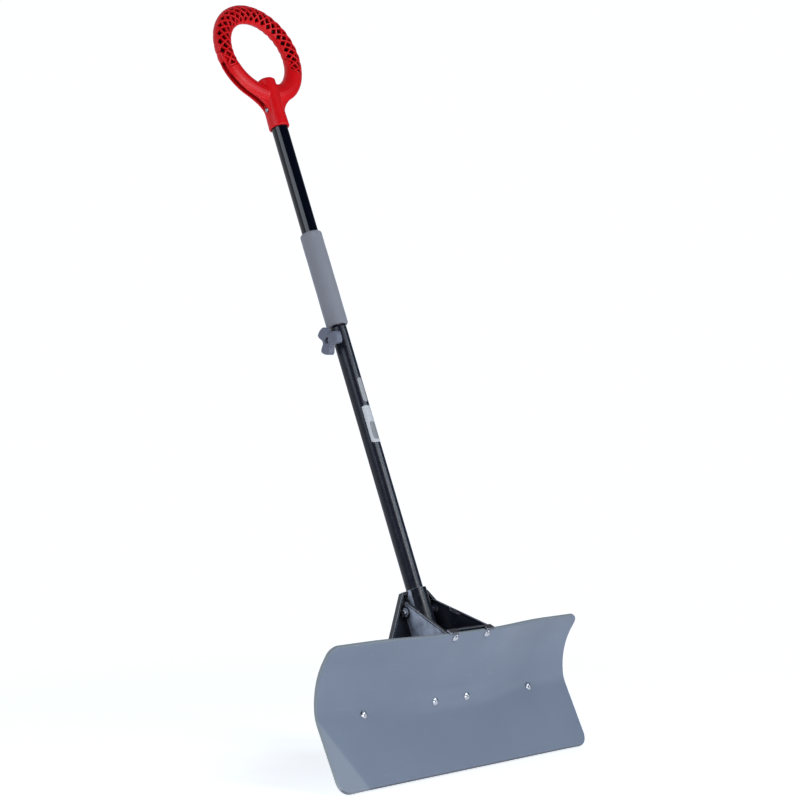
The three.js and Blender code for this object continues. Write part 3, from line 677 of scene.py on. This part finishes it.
def red_plastic():
    """Moulded red plastic: smooth satin, with painted shade making it nearly black down in pockets and
    slots.
    """
    finish = Finish("red_plastic", IOR=1.4)
    varied = finish.mix(finish.noise(30, 3), *shades((0.92, 0.005, 0.010), 0.9, 1.08))
    # Painted shade: near black in slots and corners, from ambient occlusion
    shaded = finish.mix(finish.crevice_shade(0.012), varied, (0.06, 0.0005, 0.001))
    # Painted shade: near black down in the lattice pockets
    pocket_shade = finish.spread(finish.painted("in_pocket"), 0, 1, 0.25, 0.95)
    finish.colour(finish.mix(pocket_shade, shaded, (0.03, 0.0004, 0.0006)))
    finish.roughness(finish.spread(finish.noise(80, 4), 0.34, 0.42))
    finish.bump((finish.noise(60, 2), 0.00005))
    return finish.material


def knob_plastic():
    """Moulded grey plastic, fine grained and paler on its convex edges."""
    finish = Finish("knob_plastic", IOR=1.5)
    varied = finish.mix(finish.noise(90, 4), *shades((0.183, 0.198, 0.265), 0.9, 1.1))
    finish.colour(finish.mix(finish.edges(0.52, 0.6), varied, (0.33, 0.34, 0.41)))
    finish.roughness(finish.spread(finish.noise(200, 4), 0.36, 0.52))
    finish.bump((finish.noise(1200, 3), 0.00008))
    return finish.material


def label_paper(name, shade):
    """Coated paper of one grey, with faint fibres and no print."""
    grey = (shade, shade * 1.02, shade * 1.07)
    finish = Finish(name, IOR=1.45)
    finish.colour(finish.mix(finish.noise(260, 4), *shades(grey, 0.86, 1.1)))
    finish.roughness(finish.spread(finish.noise(300, 3), 0.4, 0.6))
    finish.bump((finish.noise(500, 2), 0.00004))
    return finish.material


# ------------------------------------------------------------------ carried-over nodes

CARRIED_EDGE = 0.0004
SHARP = math.radians(32)


def carry_over(node, material):
    """Keeps a CAD node, with its seams closed and its edges rounded for the light to catch."""
    piece = frame["nodes"][node]
    if "custom_normal" in piece.data.attributes:
        piece.data.attributes.remove(piece.data.attributes["custom_normal"])
    piece.data.shade_smooth()
    weld(piece)
    bevel = piece.modifiers.new("rounded_edges", "BEVEL")
    bevel.width = CARRIED_EDGE
    bevel.segments = 2
    bevel.limit_method = "ANGLE"
    bevel.angle_limit = SHARP
    bevel.harden_normals = True
    piece.data.materials.clear()
    piece.data.materials.append(material)


# ------------------------------------------------------------------ stage

FLOOR_HEIGHT = -0.0035  # just clear of the scraping edge's lowest corner
FLOOR_RADIUS = 4
FLOOR_SIDES = 96
FLOOR_SHOWN = 0.5  # fully shown as far as this, and faded out from FLOOR_FADED on
FLOOR_FADED = 1.5


def floor():
    """Pale round floor that fades out before any horizon shows."""
    around = full_circle(FLOOR_SIDES)
    rim = [(FLOOR_RADIUS * math.cos(a), FLOOR_RADIUS * math.sin(a), FLOOR_HEIGHT) for a in around]
    mesh = bpy.data.meshes.new("floor")
    mesh.from_pydata(rim, [], [tuple(range(len(rim)))])
    finish = Finish("floor", Roughness=0.9, Base_Color=(0.9, 0.9, 0.91, 1))
    finish.set(Emission_Color=(0.95, 0.98, 1, 1), Emission_Strength=0.63)
    distance = finish.node("ShaderNodeVectorMath", operation="LENGTH")
    finish.join(finish.node("ShaderNodeTexCoord").outputs["Object"], distance.inputs[0])
    shown = finish.spread(distance.outputs["Value"], 1, 0, FLOOR_SHOWN, FLOOR_FADED)
    finish.join(shown, finish.shader.inputs["Alpha"])
    mesh.materials.append(finish.material)
    link("floor", mesh)


BACKDROP = 1.05  # strength where the camera sees it
DIM_SIDE = 0.01
BRIGHT_SIDE = 0.62
SWEEP_START = -0.2  # cosines of the angle from straight behind the tool
SWEEP_END = 0.9


def world():
    """White behind the object when seen; for light and reflections, a pale sweep behind it
    that falls off to a dim room on the side of the blade."""
    scene_world = bpy.data.worlds.new("studio")
    bpy.context.scene.world = scene_world
    scene_world.use_nodes = True
    tree = scene_world.node_tree
    background = tree.nodes["Background"]
    background.inputs["Color"].default_value = (0.95, 0.98, 1.04, 1)
    sweep = tree.nodes.new("ShaderNodeVectorMath")
    sweep.operation = "DOT_PRODUCT"
    sweep.inputs[1].default_value = (0, 1, 0)  # brightest behind the tool
    tree.links.new(tree.nodes.new("ShaderNodeTexCoord").outputs["Generated"], sweep.inputs[0])
    glow = tree.nodes.new("ShaderNodeMapRange")
    glow.interpolation_type = "SMOOTHSTEP"
    limits = {"From Min": SWEEP_START, "From Max": SWEEP_END, "To Min": DIM_SIDE, "To Max": BRIGHT_SIDE}
    for name, value in limits.items():
        glow.inputs[name].default_value = value
    tree.links.new(sweep.outputs["Value"], glow.inputs["Value"])
    lit = tree.nodes.new("ShaderNodeMix")
    tree.links.new(tree.nodes.new("ShaderNodeLightPath").outputs["Is Camera Ray"], lit.inputs["Factor"])
    tree.links.new(glow.outputs["Result"], lit.inputs["A"])
    lit.inputs["B"].default_value = BACKDROP
    tree.links.new(lit.outputs["Result"], background.inputs["Strength"])


def direction(azimuth, elevation):
    """Unit vector out from the tool. Azimuth 0 is straight in front of the blade, in degrees."""
    turn, tilt = math.radians(azimuth), math.radians(elevation)
    return Vector((math.sin(turn) * math.cos(tilt), -math.cos(turn) * math.cos(tilt), math.sin(tilt)))


def softbox(name, at, size, power, colour):
    """Area light at an azimuth, elevation and distance from the middle of the tool's box, facing it."""
    low, high = CAD_BOX
    middle = (Vector(low) + Vector(high)) / 2
    azimuth, elevation, distance = at
    outward = direction(azimuth, elevation)
    light = bpy.data.lights.new(name, "AREA")
    light.shape = "RECTANGLE"
    light.size, light.size_y = size
    light.energy = power
    light.color = colour
    holder = link(name, light)
    holder.location = middle + outward * distance
    holder.rotation_euler = outward.to_track_quat("Z", "Y").to_euler()


CAMERA_AZIMUTH = -46.4
CAMERA_ELEVATION = 0.89
CAMERA_DISTANCE = 3.546
CAMERA_TARGET = Vector((0.0308, 0.1969, 0.6056))
SENSOR_WIDTH = 36  # millimetres, as the lens
LENS = 92.57


def camera():
    """Stands left of the blade's front and looks level at the middle of the shaft."""
    outward = direction(CAMERA_AZIMUTH, CAMERA_ELEVATION)
    lens = bpy.data.cameras.new("camera")
    lens.sensor_width = SENSOR_WIDTH
    lens.lens = LENS
    holder = link("camera", lens)
    holder.location = CAMERA_TARGET + outward * CAMERA_DISTANCE
    holder.rotation_mode = "QUATERNION"
    holder.rotation_quaternion = outward.to_track_quat("Z", "Y")
    bpy.context.scene.camera = holder


# ------------------------------------------------------------------ build

FINISHES = {
    "poly_sheet": poly_sheet(),
    "black_nylon": black_nylon(),
    "zinc_steel": zinc_steel(),
    "matte_paint": matte_paint(),
    "gloss_paint": gloss_paint(),
    "grip_foam": grip_foam(),
    "red_plastic": red_plastic(),
    "knob_plastic": knob_plastic(),
}

blade(FINISHES["poly_sheet"])
foam_grip(FINISHES["grip_foam"])
ring_grip(FINISHES["red_plastic"])
remould("handle_body", "handle_moulding", FINISHES["red_plastic"], voxel=0.0007, rounds=8)
remould("bracket", "bracket_moulding", FINISHES["black_nylon"], voxel=0.0007, rounds=5)
remould("clamp_knob", "knob_moulding", FINISHES["knob_plastic"], voxel=0.00045, rounds=4)
label()

REMODELLED = {"blade", "foam_grip", "ring_grip", "handle_body", "bracket", "clamp_knob"}
for part in frame["record"]["subparts"]:
    if part["node"] not in REMODELLED:
        carry_over(part["node"], FINISHES[part["material_slot"]])

floor()
world()
softbox("key", at=(6, 28, 2.6), size=(0.9, 0.7), power=16, colour=(0.93, 0.97, 1))
softbox("low_front", at=(-20, -7, 2.4), size=(1.8, 0.6), power=16, colour=(0.95, 0.97, 1))
softbox("low_right", at=(45, -5, 2.4), size=(1.0, 0.6), power=6, colour=(0.95, 0.97, 1))
softbox("left_wall", at=(-86, 31, 2.5), size=(2.0, 1.2), power=18, colour=(0.80, 0.88, 1))
softbox("right_panel", at=(36, 29, 2.6), size=(0.8, 0.8), power=15, colour=(0.7, 0.85, 1))
camera()
bpy.context.scene.view_settings.view_transform = "Standard"
